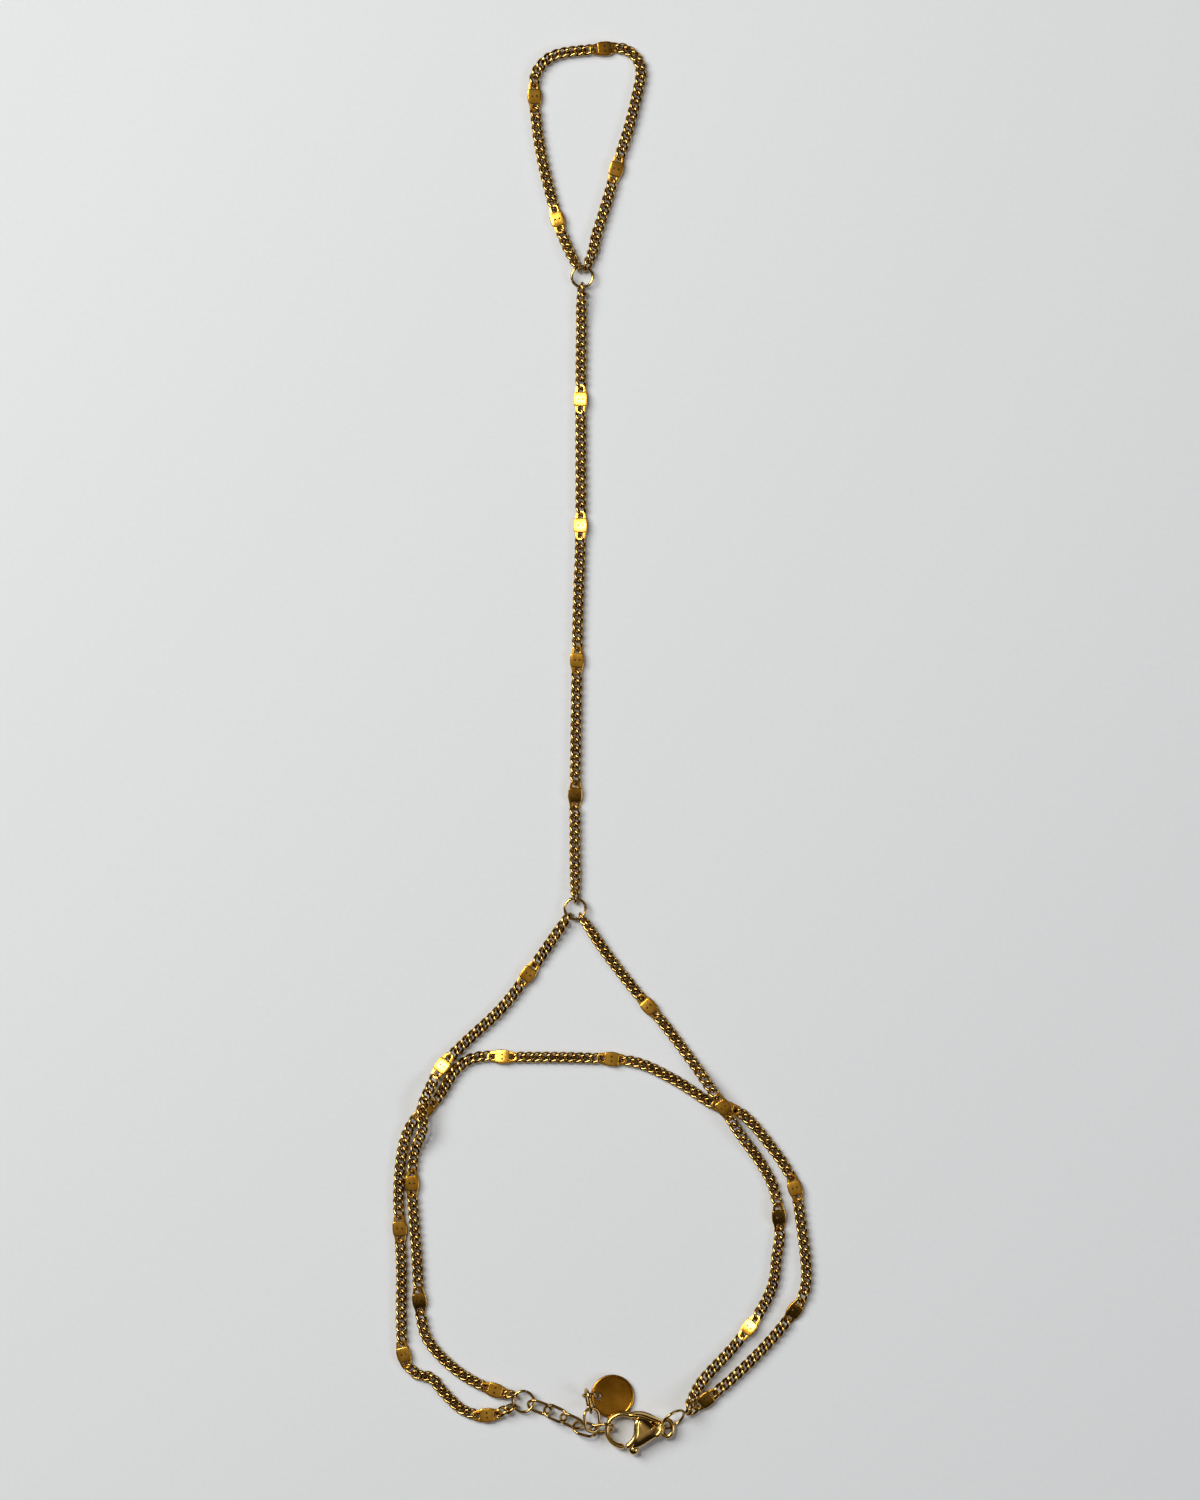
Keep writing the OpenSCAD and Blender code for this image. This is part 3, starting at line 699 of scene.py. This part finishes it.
lever = {
    "bars": [
        # gate from the pin to its tip, and the stem of the knob
        {"through": [(6.72, -97.8, 1.32), (5.6, -98.35, 1.32), (4.5, -98.9, 1.32), (3.32, -99.42, 1.32)],
         "size": [(0.62, 0.36), (0.5, 0.36), (0.42, 0.36), (0.34, 0.34)]},
        {"through": [(4.4, -99.0, 1.35), (4.43, -99.9, 1.35)], "size": (0.42, 0.35)},
    ],
    "knob": {"middle": (4.43, -99.94), "seam": 1.3, "rise": 0.6, "drop": 0.6, "square": 0.9},
    "hub": {"middle": (6.72, -97.8), "seam": 1.32, "rise": 0.35, "drop": 0.35, "square": 0.2},
    "radius": 0.75, "rimSteps": 32, "voxel": 0.05, "smoothing": 4,
}
rimTurns = allRound(lever["rimSteps"])
knobRim = np.stack([np.cos(rimTurns), np.sin(rimTurns)], 1) * lever["radius"]
leverBody = cast([
    *[bar(**form) for form in lever["bars"]],
    *[pillow(knobRim + form["middle"], form) for form in (lever["knob"], lever["hub"])],
], lever["voxel"], lever["smoothing"])
makePiece("clasp_thumb_lever", *leverBody, claspMetal, "clasp", "clasp_lever", rides="lever")
print("lever cast:", len(leverBody[1]), "faces")

# tag: stamped disc with a dished plain face, a rolled rim and a rounded hole for its ring

tag = {
    "d": 6.2, "thick": 0.45, "edge": 0.12, "rim": 0.36, "rimRise": 0.1, "dish": 0.1, "dishRings": 12,
    "hole": 1.1, "holeAt": (-2.1, 0), "lipOut": 0.1, "lipSize": (0.1, 0.24), "lipHeight": -0.02,
    "at": (1.3985, -92.4), "tilt": 6.0, "sides": 128, "sharp": 40,
}
radius, halfThick, halfRim, edge = tag["d"] / 2, tag["thick"] / 2, tag["rim"] / 2, tag["edge"]
inside, dishRings = radius - tag["rim"], tag["dishRings"]
# from the middle of the face outward over the rim, round the edge and back under
section = [(inside * k / dishRings, halfThick - tag["dish"] * (1 - (k / dishRings) ** 2))
           for k in range(dishRings + 1)]
section += [(radius - halfRim - halfRim * math.cos(g), halfThick + tag["rimRise"] * math.sin(g))
            for g in np.radians(np.arange(15, 170, 15))]
section += [(radius - edge * (1 - math.cos(g)), halfThick - edge + edge * math.sin(g))
            for g in np.radians([30, 0])]
section += [(radius - edge * (1 - math.cos(g)), edge - halfThick + edge * math.sin(g))
            for g in np.radians([0, -30, -60, -90])]
section += [(0, -halfThick)]
disc = drilled(*turned(section, tag["sides"]), [tag["holeAt"]], tag["hole"])
lipRadius = tag["hole"] / 2 + tag["lipOut"]
lipPath = arc(allRound(tag["sides"] // 4), (lipRadius, lipRadius), (*tag["holeAt"], tag["lipHeight"]))
tagPoints, tagFaces = gather([disc, tubeAround(lipPath, tag["lipSize"], 12, True, upward)])
lean = math.radians(tag["tilt"])
ways = np.array([[math.cos(lean), 0, -math.sin(lean)], [0, 1, 0], [math.sin(lean), 0, math.cos(lean)]])
lift = radius * math.sin(lean) + halfThick
tagPoints = placed(tagPoints, np.array([*tag["at"], lift]), ways)
makePiece("round_tag", tagPoints, tagFaces, tagMetal, "tag", "tag", sharp=tag["sharp"])
print("tag stamped")

# solids that are shown as they are

dressed = {
    "extender_chain": chainMetal, "tag_ring": chainMetal, "clasp_ring": chainMetal, "clasp_pin": claspMetal,
}
for node, metal in dressed.items():
    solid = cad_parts[node]
    if not solid.material_slots:
        solid.data.materials.append(metal)
    for held in solid.material_slots:
        held.material = metal
print("solids dressed")
